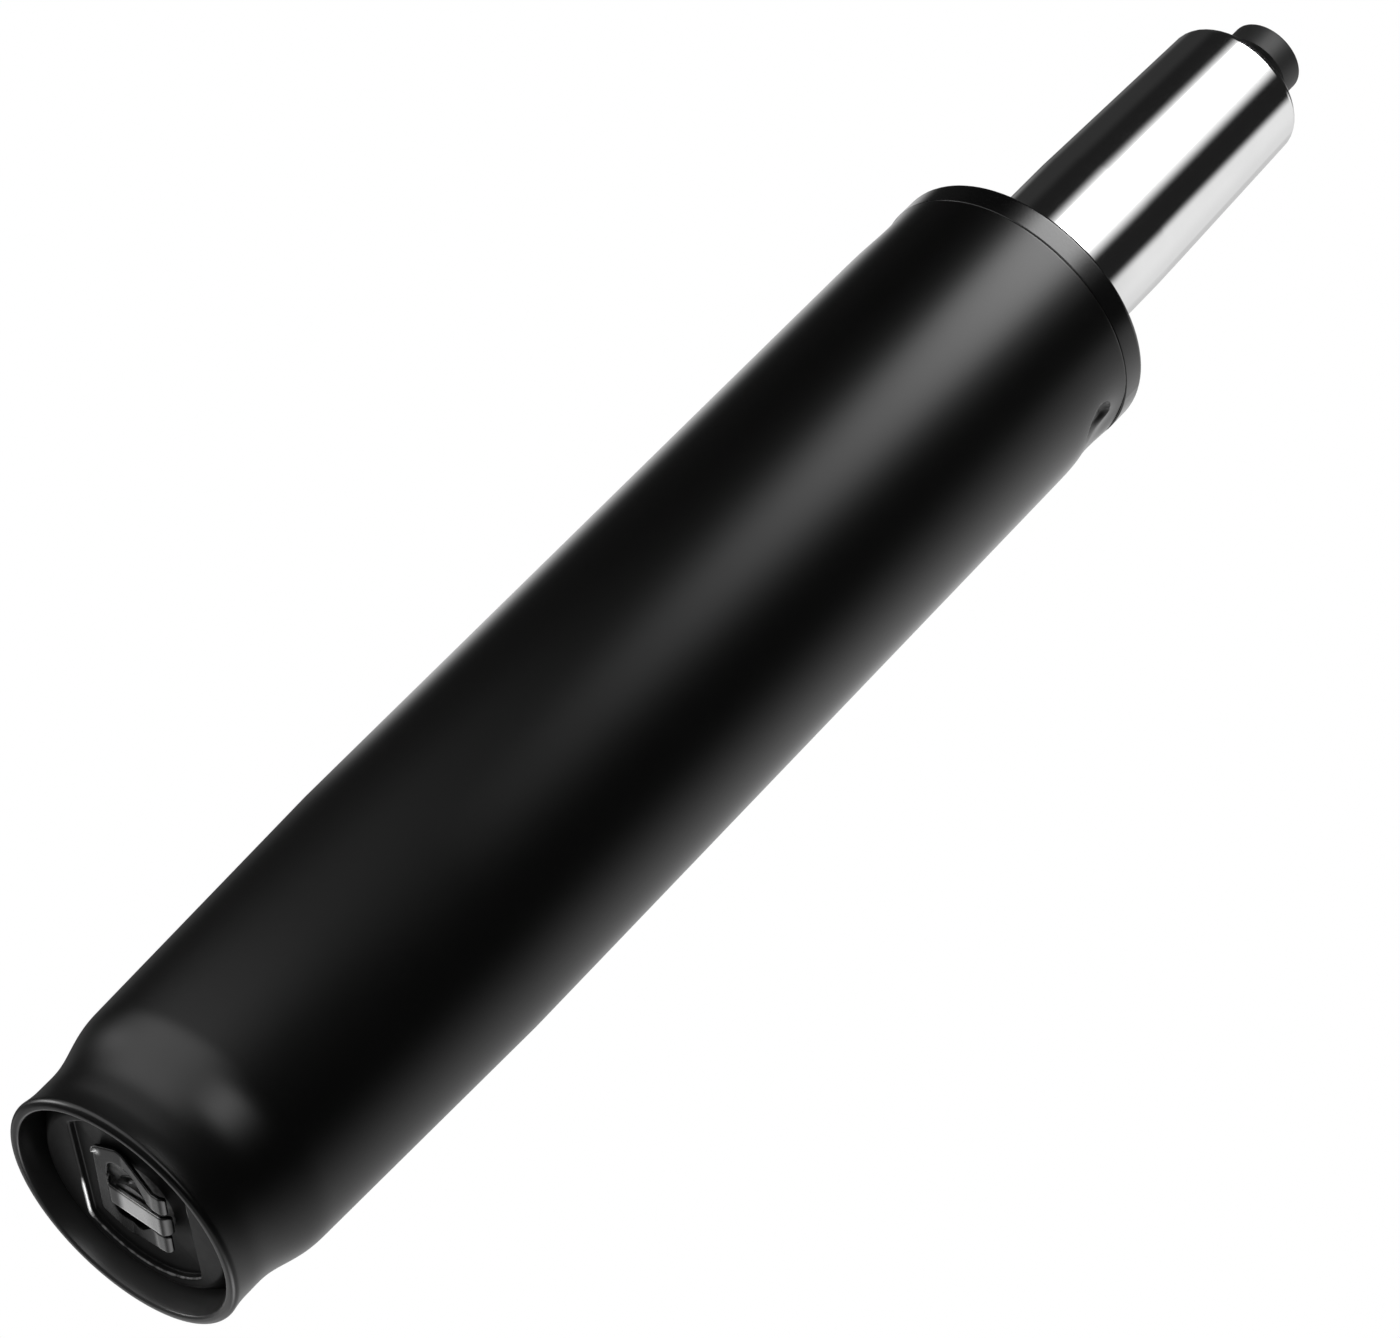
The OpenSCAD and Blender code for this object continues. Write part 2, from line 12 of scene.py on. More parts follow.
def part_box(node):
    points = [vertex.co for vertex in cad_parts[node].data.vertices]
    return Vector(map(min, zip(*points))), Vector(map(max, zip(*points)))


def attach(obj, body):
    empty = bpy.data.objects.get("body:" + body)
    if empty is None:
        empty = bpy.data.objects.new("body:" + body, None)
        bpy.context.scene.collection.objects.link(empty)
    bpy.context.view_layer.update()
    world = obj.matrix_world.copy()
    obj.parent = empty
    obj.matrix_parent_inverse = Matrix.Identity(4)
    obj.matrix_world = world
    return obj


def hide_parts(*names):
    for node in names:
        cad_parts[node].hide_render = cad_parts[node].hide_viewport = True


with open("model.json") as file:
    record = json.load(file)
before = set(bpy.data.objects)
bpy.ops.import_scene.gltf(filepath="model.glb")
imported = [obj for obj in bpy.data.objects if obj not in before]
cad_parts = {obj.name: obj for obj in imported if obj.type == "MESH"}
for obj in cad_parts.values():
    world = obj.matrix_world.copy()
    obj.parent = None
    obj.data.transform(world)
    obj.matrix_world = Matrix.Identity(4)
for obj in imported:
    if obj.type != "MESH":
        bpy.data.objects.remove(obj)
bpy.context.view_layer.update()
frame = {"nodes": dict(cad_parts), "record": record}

MM = 0.001
WELD_DISTANCE = 0.002 * MM

# Camera, fitted to the photograph's silhouette
PHOTO_W = 1400
FOCAL_PX = 5972.5
SENSOR_MM = 36.0
CAMERA_AZIMUTH = 21.0
CAMERA_ELEVATION = -29.85
CAMERA_DISTANCE = 0.9413
CAMERA_TARGET_Z = 0.120
CAMERA_ROLL = 44.684
CAMERA_PAN_PX = -81.9
CAMERA_TILT_PX = 43.1

# Column, from the frame and the fitted outline. Heights are above the mouth rim
COLUMN_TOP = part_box("column_tube")[1].z
COLUMN_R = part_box("column_tube")[1].y
COLUMN_WALL = 2.0 * MM
NECK_R = 21.5 * MM
NECK_L = 6.5 * MM
SHOULDER_L = 14.0 * MM
RIM_FLARE = 0.55 * MM
FLARE_L = 4.5 * MM
RIM_OUTER_ROUND = 1.2 * MM
RIM_INNER_ROUND = 0.35 * MM
RIM_Z = -0.2 * MM
SEAM_GAP = 0.04 * MM
SEAM_ROUND = 0.25 * MM
TAPER_L = 70.0 * MM
TAPER_RATIO = 20.0

# Staking dents: a punch mark with the wall drawn in beside it, once on +X and once on -X
DENT_CENTRES = (0.0, math.pi)
DENT_Z = 220.3 * MM
DENT_TURN = math.radians(9.0)
DENT_DEPTH = 1.2 * MM
DENT_HALF_L = 4.6 * MM
DENT_HALF_W = 6.5 * MM
PUNCH_Z = 217.7 * MM
PUNCH_TURN = math.radians(-3.0)
PUNCH_DEPTH = 1.55 * MM
PUNCH_HALF_L = 3.5 * MM
PUNCH_FLOOR = 1.1 * MM
PUNCH_NEAR_W = 4.9 * MM
PUNCH_FAR_W = 1.9 * MM
# Both together stay shallower than the wall is thick
DENT_DEPTH_LIMIT = 1.85 * MM

# Spacing of the column's mesh: fine at the dents and the mouth, wide on the plain tube
SEAM_STEPS = 6
RIM_OUTER_STEPS = 12
RIM_INNER_STEPS = 8
DENT_ROW = 0.22 * MM
DENT_ZONE = 10.0 * MM
BLEND_ROW = 1.0 * MM
BLEND_ZONE = 4.0 * MM
TUBE_ROW = 8.0 * MM
TAPER_ROW = 4.0 * MM
NECK_ROW = 0.4 * MM
INNER_ROW = 0.6 * MM
SHOULDER_MARGIN = 2.0 * MM
FINE_SPAN = math.radians(12.0)
FINE_TURN = math.radians(0.5)
NEAR_SPAN = math.radians(45.0)
NEAR_TURN = math.radians(1.2)
WIDE_TURN = math.radians(2.0)

# Bearing cup in the mouth, with the pocket that the clip turns in
CUP_FACE_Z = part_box("bearing_cup")[0].z
CUP_TOP_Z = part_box("bearing_cup")[1].z
CUP_SEAT_Z = 9.0 * MM
CUP_STEP_Z = 10.0 * MM
CUP_HOLE_R = 4.05 * MM
CUP_RUB_R = 6.6 * MM
CUP_SEAT_R = 16.03 * MM
CUP_CLEAR_R = 16.6 * MM
CUP_BEVEL_H = 2.5 * MM
CUP_BEVEL_W = 2.4 * MM
CUP_EDGE_ROUND = 0.5 * MM
CUP_WALL_GAP = 0.03 * MM
CUP_RUB_FADE = 1.0 * MM
CUP_EDGE_STEPS = 6
CUP_ROW = 1.0 * MM
CUP_SIDES = 360
POCKET_HALF_W = 10.9 * MM
POCKET_R = 15.2 * MM
POCKET_TURN = math.radians(-12.0)
POCKET_SOFT = 0.2 * MM
POCKET_DEPTH = 1.2 * MM
POCKET_FILLET = 0.55 * MM
POCKET_FILLET_STEPS = 8
POCKET_CORNER = 0.3 * MM
POCKET_CORNER_STEPS = 4

# Retaining clip, seen from the mouth: u along its arms, v across them
CLIP_TURN = math.radians(-9.0)
CLIP_T = 0.7 * MM
CLIP_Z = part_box("retaining_clip")[1].z - CLIP_T
CLIP_EDGE = 0.18 * MM
CLIP_EDGE_STEPS = 4
CLIP_GRID = 0.3 * MM
CLIP_ARC_STEP = 0.2 * MM
SLOPE_STEP = 0.05 * MM
TONGUE_HALF = 2.1 * MM
CLIP_SLIT = 0.6 * MM
TONGUE_ROOT_U = -5.4 * MM
TONGUE_LOCK_U = -3.85 * MM
TONGUE_DROP = 1.26 * MM
TONGUE_DIP = 0.4 * MM
ARM_BEND_U = -1.6 * MM
ARM_LOCK_U = 5.0 * MM
ARM_DIP = 1.4 * MM
CURL_U = 6.2 * MM
CLIP_REACH = 7.8 * MM
TIP_CURL = 1.4 * MM
# Corners of one half of the flat clip in millimetres: u, v and the corner's radius
CLIP_CORNERS = [
    (-7.6, 7.6, 0.6), (-2.4, 10.1, 1.6), (4.9, 6.6, 1.2), (7.4, 6.5, 0.6), (7.4, 2.7, 0.4),
    (3.7, 2.7, 0.5), (0.8, 6.2, 1.6), (-4.6, 6.2, 2.0), (-5.4, 2.1, 0.4), (7.8, 2.1, 0.6),
]
# One corner is knocked outwards and rubbed bright, a painted glint as bright metal
KNOCK_U = -7.1 * MM
KNOCK_V = -7.2 * MM
KNOCK_HEIGHT = 0.7 * MM
KNOCK_REACH = 0.5 * MM
KNOCK_RUB_AND_GLINT_REACH = 1.0 * MM

# Surroundings: even light, a pale floor with a hole under the mouth, and two lamps
AMBIENT = 0.45
FLOOR_RINGS = (20.3 * MM, 0.03, 0.08, 0.25, 0.8, 3.0)
FLOOR_SIDES = 96
FLOOR_GREY = 0.85
FLOOR_GLOW = 0.6
LAMP_AIM = Vector((0.0, 0.0, 0.15))
# Name, turn from the camera's own side, height, distance, size and power
LAMPS = [
    ("lamp_key", -20.0, 1.3, 1.3, 0.8, 12.0),
    ("lamp_fill", 110.0, 0.9, 1.6, 1.0, 8.0),
]

# Dome that the gloss reflects. Turns run to the right from the camera's own side and tilts run up,
# both in degrees
DOME_R = 0.4
DOME_Z = 0.12
DOME_STEP = 2.0
# The chromed tube reflects what lies above this tilt
CHROME_TILT = 47.5
CHROME_SOFT = 1.5
# Brightness, first and last turn and their softness, first and last tilt and their softness
FLAT_CARDS = [
    # Softbox high in front
    (6.8, -39.0, 7.0, 10.0, 44.6, 62.0, 2.3),
    # Pale table on the left, up to the horizon
    (1.5, -97.0, -24.0, 26.0, -34.0, 5.5, 7.0),
]
# Brightness, turn and half width, tilt and half height
SOFT_CARDS = [
    # Far edge of the table
    (0.42, -58.0, 30.0, 20.0, 3.5),
    # Table close by in front
    (3.6, -2.0, 16.0, -25.0, 6.5),
    # Cards low down on the right and on the left
    (3.4, 125.0, 18.0, -42.0, 9.0),
    (7.0, -112.0, 14.0, -26.0, 9.0),
]


# Mesh helpers

def new_object(name, verts, faces):
    mesh = bpy.data.meshes.new(name)
    mesh.from_pydata(verts, [], faces)
    mesh.validate()
    mesh.update()
    piece = bpy.data.objects.new(name, mesh)
    bpy.context.scene.collection.objects.link(piece)
    return piece


def shade_smooth(piece, angle_deg=35.0):
    for face in piece.data.polygons:
        face.use_smooth = True
    piece.data.set_sharp_from_angle(angle=math.radians(angle_deg))


def weld(piece):
    """Joins vertices that lie on each other and turns all faces outwards."""
    mesh = bmesh.new()
    mesh.from_mesh(piece.data)
    bmesh.ops.remove_doubles(mesh, verts=mesh.verts, dist=WELD_DISTANCE)
    bmesh.ops.recalc_face_normals(mesh, faces=mesh.faces)
    mesh.to_mesh(piece.data)
    mesh.free()


def carry(piece, name, values):
    """Stores one value per vertex for the piece's material."""
    layer = piece.data.attributes.new(name, "FLOAT", "POINT")
    layer.data.foreach_set("value", values)


def ring_faces(rows, across):
    """Quads of a closed profile of so many rows, carried round a closed ring."""
    faces = []
    for i in range(rows):
        here, below = i * across, (i + 1) % rows * across
        for j in range(across):
            right = (j + 1) % across
            faces.append((here + j, below + j, below + right, here + right))
    return faces


# Curves and spacings

def smooth_step(x):
    x = min(max(x, 0.0), 1.0)
    return x * x * (3.0 - 2.0 * x)


def smoother_step(x):
    """As smooth_step, with no kink in curvature at its ends."""
    x = min(max(x, 0.0), 1.0)
    return x * x * x * (10.0 + x * (6.0 * x - 15.0))


def bell(x):
    """A soft bump, 1 at 0 and fading to 0 past 2."""
    return math.exp(-x * x)


def edge(x, centre, soft):
    """Rises from 0 to 1 about centre, over soft on either side."""
    return smooth_step((x - centre + soft) / (2.0 * soft))


def within(x, low, high, soft):
    """1 between low and high, fading to 0 over soft on either side of both."""
    return edge(x, low, soft) * (1.0 - edge(x, high, soft))


def mix(a, b, share):
    return a + (b - a) * share


def spaced(start, stop, step):
    """Values from start to stop, evenly spaced at about step, without stop."""
    count = max(1, round(abs(stop - start) / step))
    return [start + (stop - start) * i / count for i in range(count)]


def quarter(steps):
    """Sine and cosine at even steps of a quarter turn, with both ends."""
    turns = [0.5 * math.pi * i / steps for i in range(steps + 1)]
    return [(math.sin(turn), math.cos(turn)) for turn in turns]


# Material helpers

def new_material(name):
    material = bpy.data.materials.new(name)
    material.use_nodes = True
    nodes = material.node_tree.nodes
    nodes.clear()
    output = nodes.new("ShaderNodeOutputMaterial")
    return material, nodes, material.node_tree.links, output


def principled(nodes, links, output, **values):
    shader = nodes.new("ShaderNodeBsdfPrincipled")
    for name, value in values.items():
        shader.inputs[name.replace("_", " ")].default_value = value
    links.new(shader.outputs["BSDF"], output.inputs["Surface"])
    return shader


def grey(level):
    return (level, level, level, 1.0)


def noise(nodes, links, scale, detail=3.0, stretch=None):
    """Noise on the object's own coordinates, stretched where asked."""
    place = nodes.new("ShaderNodeTexCoord")
    source = place.outputs["Object"]
    if stretch:
        mapping = nodes.new("ShaderNodeMapping")
        mapping.inputs["Scale"].default_value = stretch
        links.new(source, mapping.inputs["Vector"])
        source = mapping.outputs["Vector"]
    texture = nodes.new("ShaderNodeTexNoise")
    texture.inputs["Scale"].default_value = scale
    texture.inputs["Detail"].default_value = detail
    links.new(source, texture.inputs["Vector"])
    return texture.outputs["Fac"]


def between(nodes, links, factor, low, high):
    """A number that runs from low to high with factor."""
    ramp = nodes.new("ShaderNodeMapRange")
    ramp.inputs["To Min"].default_value = low
    ramp.inputs["To Max"].default_value = high
    links.new(factor, ramp.inputs["Value"])
    return ramp.outputs["Result"]


def grey_between(nodes, links, factor, low, high):
    """A grey that runs from low to high with factor."""
    ramp = nodes.new("ShaderNodeValToRGB")
    ramp.color_ramp.elements[0].color = grey(low)
    ramp.color_ramp.elements[0].position = 0.3
    ramp.color_ramp.elements[1].color = grey(high)
    ramp.color_ramp.elements[1].position = 0.7
    links.new(factor, ramp.inputs["Fac"])
    return ramp.outputs["Color"]


def bump(nodes, links, shader, height, strength, distance):
    node = nodes.new("ShaderNodeBump")
    node.inputs["Strength"].default_value = strength
    node.inputs["Distance"].default_value = distance
    links.new(height, node.inputs["Height"])
    links.new(node.outputs["Normal"], shader.inputs["Normal"])


def attribute(nodes, name):
    """A value that the piece carries at each vertex."""
    node = nodes.new("ShaderNodeAttribute")
    node.attribute_name = name
    return node.outputs["Fac"]


def calculate(nodes, links, operation, a, b):
    """The result of one sum on two linked values."""
    node = nodes.new("ShaderNodeMath")
    node.operation = operation
    links.new(a, node.inputs[0])
    links.new(b, node.inputs[1])
    return node.outputs[0]


# Materials

def powder_coat():
    """Satin black powder coat: a fine pebbled surface, and a lighter grey where the piece carries one,
    which is painted light.
    """
    material, nodes, links, output = new_material("powder_coat")
    shader = principled(nodes, links, output, Specular_IOR_Level=0.5)
    cloud = noise(nodes, links, 60.0)
    pebble = noise(nodes, links, 2600.0, 4.0)
    uneven = between(nodes, links, cloud, 0.8, 1.2)
    # Painted light: the carried value lifts the base grey, standing in for light on the inner wall
    painted_wall_light = calculate(nodes, links, "MULTIPLY", attribute(nodes, "painted_wall_light"), uneven)
    links.new(between(nodes, links, painted_wall_light, 0.001, 0.06), shader.inputs["Base Color"])
    links.new(between(nodes, links, cloud, 0.27, 0.29), shader.inputs["Roughness"])
    bump(nodes, links, shader, pebble, 0.10, 0.05 * MM)
    return material


def moulded_plastic(name, low, high, rough_low, rough_high, gloss):
    """Moulded plastic with a faint grain."""
    material, nodes, links, output = new_material(name)
    shader = principled(nodes, links, output, Specular_IOR_Level=gloss)
    cloud = noise(nodes, links, 90.0)
    grain = noise(nodes, links, 1800.0, 4.0)
    links.new(grey_between(nodes, links, cloud, low, high), shader.inputs["Base Color"])
    links.new(between(nodes, links, cloud, rough_low, rough_high), shader.inputs["Roughness"])
    bump(nodes, links, shader, grain, 0.08, 0.04 * MM)
    return material


def bright_metal(name, low, high, rough_low, rough_high, stretch, grain_scale):
    """Plated or ground metal with fine marks along its last working direction."""
    material, nodes, links, output = new_material(name)
    shader = principled(nodes, links, output, Metallic=1.0)
    cloud = noise(nodes, links, 70.0)
    marks = noise(nodes, links, grain_scale, 4.0, stretch)
    links.new(grey_between(nodes, links, cloud, low, high), shader.inputs["Base Color"])
    links.new(between(nodes, links, marks, rough_low, rough_high), shader.inputs["Roughness"])
    bump(nodes, links, shader, marks, 0.03, 0.01 * MM)
    return material


def black_steel_worn_and_lit():
    """Phosphated steel, turned to bright metal where the piece says so: partly rubbed by use, partly
    painted light.
    """
    material, nodes, links, output = new_material("cup_steel")
    shader = principled(nodes, links, output, Specular_IOR_Level=0.12)
    speckle = noise(nodes, links, 900.0, 4.0)
    uneven = between(nodes, links, speckle, 0.5, 1.3)
    # The carried value is partly rubbing and partly painted light
    worn_and_lit = calculate(nodes, links, "MULTIPLY", attribute(nodes, "wear_and_painted_light"), uneven)
    links.new(grey_between(nodes, links, worn_and_lit, 0.011, 0.8), shader.inputs["Base Color"])
    links.new(between(nodes, links, worn_and_lit, 0.0, 1.0), shader.inputs["Metallic"])
    links.new(between(nodes, links, speckle, 0.32, 0.44), shader.inputs["Roughness"])
    bump(nodes, links, shader, speckle, 0.12, 0.04 * MM)
    return material


def spring_steel():
    """Tempered spring steel, dark, and bright where the piece says so: partly rubbed by use, partly
    painted highlight and painted shade.
    """
    material, nodes, links, output = new_material("clip_steel")
    shader = principled(nodes, links, output, Specular_Tint=grey(0.75), Metallic=1.0)
    cloud = noise(nodes, links, 250.0)
    marks = noise(nodes, links, 1200.0, 4.0, (1.0, 0.15, 1.0))
    uneven = between(nodes, links, cloud, 0.85, 1.15)
    # Painted light: the carried value darkens shaded parts and brightens lit ones
    worn_and_lit = calculate(nodes, links, "MULTIPLY", attribute(nodes, "wear_and_painted_light"), uneven)
    links.new(between(nodes, links, worn_and_lit, 0.004, 0.85), shader.inputs["Base Color"])
    links.new(between(nodes, links, marks, 0.22, 0.3), shader.inputs["Roughness"])
    bump(nodes, links, shader, marks, 0.03, 0.01 * MM)
    return material


def rubber():
    """Matte black rubber."""
    material, nodes, links, output = new_material("black_rubber")
    shader = principled(nodes, links, output, Specular_IOR_Level=0.4)
    cloud = noise(nodes, links, 400.0)
    links.new(grey_between(nodes, links, cloud, 0.012, 0.02), shader.inputs["Base Color"])
    links.new(between(nodes, links, cloud, 0.6, 0.75), shader.inputs["Roughness"])
    bump(nodes, links, shader, cloud, 0.1, 0.05 * MM)
    return material


def tinted_metal(name, colour, rough_low, rough_high):
    """Brass and other coloured metals, turned."""
    material, nodes, links, output = new_material(name)
    shader = principled(nodes, links, output, Metallic=1.0, Base_Color=(*colour, 1.0))
    rings = noise(nodes, links, 900.0, 3.0, (0.1, 0.1, 1.0))
    links.new(between(nodes, links, rings, rough_low, rough_high), shader.inputs["Roughness"])
    bump(nodes, links, shader, rings, 0.05, 0.02 * MM)
    return material


TURNED = (0.06, 0.06, 1.0)
MATERIALS = {
    "column_paint": powder_coat(),
    "bush_plastic": moulded_plastic("bush_plastic", 0.002, 0.003, 0.17, 0.19, 0.6),
    "button_plastic": moulded_plastic("button_plastic", 0.014, 0.02, 0.42, 0.5, 0.35),
    "piston_plastic": moulded_plastic("piston_plastic", 0.2, 0.26, 0.4, 0.5, 0.5),
    "cup_steel": black_steel_worn_and_lit(),
    "bearing_steel": bright_metal("bearing_steel", 0.5, 0.6, 0.12, 0.2, TURNED, 1500.0),
    "rod_steel": bright_metal("rod_steel", 0.3, 0.4, 0.25, 0.35, TURNED, 1800.0),
    "clip_steel": spring_steel(),
    "zinc_steel": bright_metal("zinc_steel", 0.45, 0.55, 0.25, 0.35, (1.0, 1.0, 1.0), 700.0),
    "tube_chrome": bright_metal("tube_chrome", 0.78, 0.82, 0.08, 0.11, TURNED, 1600.0),
    "valve_aluminium": bright_metal("valve_aluminium", 0.5, 0.6, 0.25, 0.35, TURNED, 1500.0),
    "guide_brass": tinted_metal("guide_brass", (0.7, 0.5, 0.2), 0.2, 0.35),
    "cage_brass": tinted_metal("cage_brass", (0.72, 0.53, 0.22), 0.25, 0.4),
    "black_rubber": rubber(),
}


def dress(piece, slot):
    """Gives a piece the material of one of the record's slots."""
    piece.data.materials.clear()
    piece.data.materials.append(MATERIALS[slot])


# Column: one skin from the mouth rim to the top, with its two staking dents

def taper_r(z):
    """Outer radius of the tube and its lower taper."""
    return COLUMN_R - max(0.0, TAPER_L - z) / (2.0 * TAPER_RATIO)


def column_r(z):
    """Outer radius of the column, with its neck, shoulder and flared rim."""
    flare = RIM_FLARE * max(0.0, 1.0 - z / FLARE_L) ** 2
    return NECK_R + flare + (taper_r(z) - NECK_R) * smoother_step((z - NECK_L) / SHOULDER_L)


def punch_mark(z, across):
    """Depth of the punch mark: an almond, cut off sharply on one side and soft on the other."""
    reach = (z - PUNCH_Z) / PUNCH_HALF_L
    if abs(reach) >= 1.0:
        return 0.0
    width = math.sqrt(1.0 - reach ** 2)
    if across < PUNCH_FLOOR:
        side = max(0.0, 1.0 - ((PUNCH_FLOOR - across) / (PUNCH_NEAR_W * width)) ** 4)
    else:
        side = bell((across - PUNCH_FLOOR) / (PUNCH_FAR_W * width))
    return PUNCH_DEPTH * width * side


def dent(z, angle):
    """How far the skin is pressed in here."""
    depth = 0.0
    for centre in DENT_CENTRES:
        across = COLUMN_R * math.remainder(angle - centre - DENT_TURN, 2.0 * math.pi)
        depth += DENT_DEPTH * bell((z - DENT_Z) / DENT_HALF_L) * bell(across / DENT_HALF_W)
        across = COLUMN_R * math.remainder(angle - centre - PUNCH_TURN, 2.0 * math.pi)
        depth += punch_mark(z, across)
    return min(depth, DENT_DEPTH_LIMIT)


def column_rows():
    """The skin's profile from its outer top round the rim to its inner top.

    Each row is a height, how far it lies inside the outer radius, and whether the dents press it in.
    """
    top = COLUMN_TOP - SEAM_GAP
    fine_low = DENT_Z - DENT_ZONE
    blend_low = fine_low - BLEND_ZONE
    shoulder_top = NECK_L + SHOULDER_L + SHOULDER_MARGIN
    rows = []
    for sine, cosine in quarter(SEAM_STEPS)[:-1]:
        rows.append((top - SEAM_ROUND * (1.0 - cosine), SEAM_ROUND * (1.0 - sine), True))
    outer = spaced(top - SEAM_ROUND, fine_low, DENT_ROW)
    outer += spaced(fine_low, blend_low, BLEND_ROW)
    outer += spaced(blend_low, TAPER_L, TUBE_ROW)
    outer += spaced(TAPER_L, shoulder_top, TAPER_ROW)
    outer += spaced(shoulder_top, RIM_Z + RIM_OUTER_ROUND, NECK_ROW)
    rows += [(z, 0.0, True) for z in outer]
    for sine, cosine in quarter(RIM_OUTER_STEPS):
        rise = RIM_OUTER_ROUND * (1.0 - sine)
        rows.append((RIM_Z + rise, RIM_OUTER_ROUND * (1.0 - cosine), False))
    for sine, cosine in quarter(RIM_INNER_STEPS):
        rise = RIM_INNER_ROUND * (1.0 - cosine)
        rows.append((RIM_Z + rise, COLUMN_WALL - RIM_INNER_ROUND * (1.0 - sine), False))
    inner = spaced(RIM_Z + RIM_INNER_ROUND, shoulder_top, INNER_ROW)[1:]
    inner += [shoulder_top, TAPER_L, fine_low, top]
    return rows + [(z, COLUMN_WALL, False) for z in inner]


def column_angles():
    """Angles round the column, closer together at the dents."""
    angles = []
    for centre in DENT_CENTRES:
        angles += spaced(centre - NEAR_SPAN, centre - FINE_SPAN, NEAR_TURN)
        angles += spaced(centre - FINE_SPAN, centre + FINE_SPAN, FINE_TURN)
        angles += spaced(centre + FINE_SPAN, centre + NEAR_SPAN, NEAR_TURN)
        angles += spaced(centre + NEAR_SPAN, centre + math.pi - NEAR_SPAN, WIDE_TURN)
    return angles


def make_column():
    """The skin, with painted light on the right of its inner wall: a lighter grey standing in for light
    falling there.
    """
    rows, angles = column_rows(), column_angles()
    verts, painted_wall_light = [], []
    for z, inset, dented in rows:
        on_inner_wall = edge(inset, 0.85 * COLUMN_WALL, 0.1 * COLUMN_WALL)
        for angle in angles:
            r = column_r(z) - inset - (dent(z, angle) if dented else 0.0)
            verts.append((r * math.cos(angle), r * math.sin(angle), z))
            # Painted light, lighter on the inner wall's side to the camera's right
            right = 0.5 + 0.5 * math.cos(angle - math.radians(CAMERA_AZIMUTH))
            painted_wall_light.append(right * on_inner_wall)
    piece = new_object("column_skin", verts, ring_faces(len(rows), len(angles)))
    carry(piece, "painted_wall_light", painted_wall_light)
    shade_smooth(piece, 50.0)
    dress(piece, "column_paint")
    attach(piece, "column")
    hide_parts("column_tube")


# Bearing cup: turned outside, with a pocket of two flats and two arcs pressed into its lower face

def pocket_r(angle, offset):
    """Distance from the axis to the pocket's outline, moved outwards by offset, with soft corners."""
    arc = POCKET_R + offset
    flat = (POCKET_HALF_W + offset) / max(abs(math.cos(angle - POCKET_TURN)), 0.05)
    low, high = min(arc, flat), max(arc, flat)
    return low - POCKET_SOFT * math.log1p(math.exp((low - high) / POCKET_SOFT))


def pocket_wear_and_highlight(angle, offset):
    """Share of the pocket's rounded edge made bright metal: rubbed by the clip, and a painted highlight
    placed where reflections fall.
    """
    r = pocket_r(angle, offset)
    along = r * math.sin(angle - POCKET_TURN)
    across = r * math.cos(angle - POCKET_TURN)
    # Painted highlights as bright metal: one flat along half its length, the other in one spot, and one
    # arc lightly
    left_flat = edge(-across, 10.5 * MM, 0.3 * MM) * edge(along, 2.6 * MM, 2.4 * MM)
    right_flat = edge(across, 10.4 * MM, 0.4 * MM) * bell((along + 5.2 * MM) / (1.8 * MM))
    arc = 0.45 * edge(along, 8.0 * MM, 2.0 * MM)
    return max(arc, left_flat, right_flat, 0.05)


def cup_outer_r(z):
    """Outer radius of the cup, just inside the column's wall."""
    return column_r(z) - COLUMN_WALL - CUP_WALL_GAP


def cup_rows():
    """The cup's profile from its hole outwards and back.

    Each row says whether it follows the pocket, then its offset or radius, its height, and how bright
    its metal is, partly rubbed and partly a painted highlight.
    """
    floor_z = CUP_FACE_Z + POCKET_DEPTH
    rows = [(False, CUP_HOLE_R, CUP_SEAT_Z, 0.0), (False, CUP_HOLE_R, floor_z, 0.6)]
    rows += [(False, CUP_RUB_R, floor_z, 0.5), (False, CUP_RUB_R + CUP_RUB_FADE, floor_z, 0.0)]
    for sine, cosine in quarter(POCKET_CORNER_STEPS):
        drop = POCKET_CORNER * (1.0 - cosine)
        rows.append((True, POCKET_CORNER * (sine - 1.0), floor_z - drop, 0.2 * cosine))
    for sine, cosine in quarter(POCKET_FILLET_STEPS):
        rise = POCKET_FILLET * (1.0 - sine)
        # Painted highlight: brightest halfway round the fillet, where the reflection falls
        worn_and_lit = 2.0 * sine * cosine
        rows.append((True, POCKET_FILLET * (1.0 - cosine), CUP_FACE_Z + rise, worn_and_lit))
    edge_z = CUP_FACE_Z + CUP_BEVEL_H
    outer = cup_outer_r(edge_z)
    flat_r = outer - CUP_BEVEL_W
    slope = CUP_BEVEL_H / CUP_BEVEL_W
    for i in range(CUP_EDGE_STEPS + 1):
        t = i / CUP_EDGE_STEPS
        r = flat_r - CUP_EDGE_ROUND + 2.0 * t * CUP_EDGE_ROUND
        rise = slope * CUP_EDGE_ROUND * t * t
        rows.append((False, r, CUP_FACE_Z + rise, 0.1 * math.sin(math.pi * t)))
    rows.append((False, outer, edge_z, 0.0))
    rows += [(False, cup_outer_r(z), z, 0.0) for z in spaced(edge_z, CUP_TOP_Z, CUP_ROW)[1:]]
    rows += [(False, cup_outer_r(CUP_TOP_Z), CUP_TOP_Z, 0.0), (False, CUP_CLEAR_R, CUP_TOP_Z, 0.0)]
    rows += [(False, CUP_CLEAR_R, CUP_STEP_Z, 0.0), (False, CUP_SEAT_R, CUP_STEP_Z, 0.0)]
    rows.append((False, CUP_SEAT_R, CUP_SEAT_Z, 0.0))
    return rows


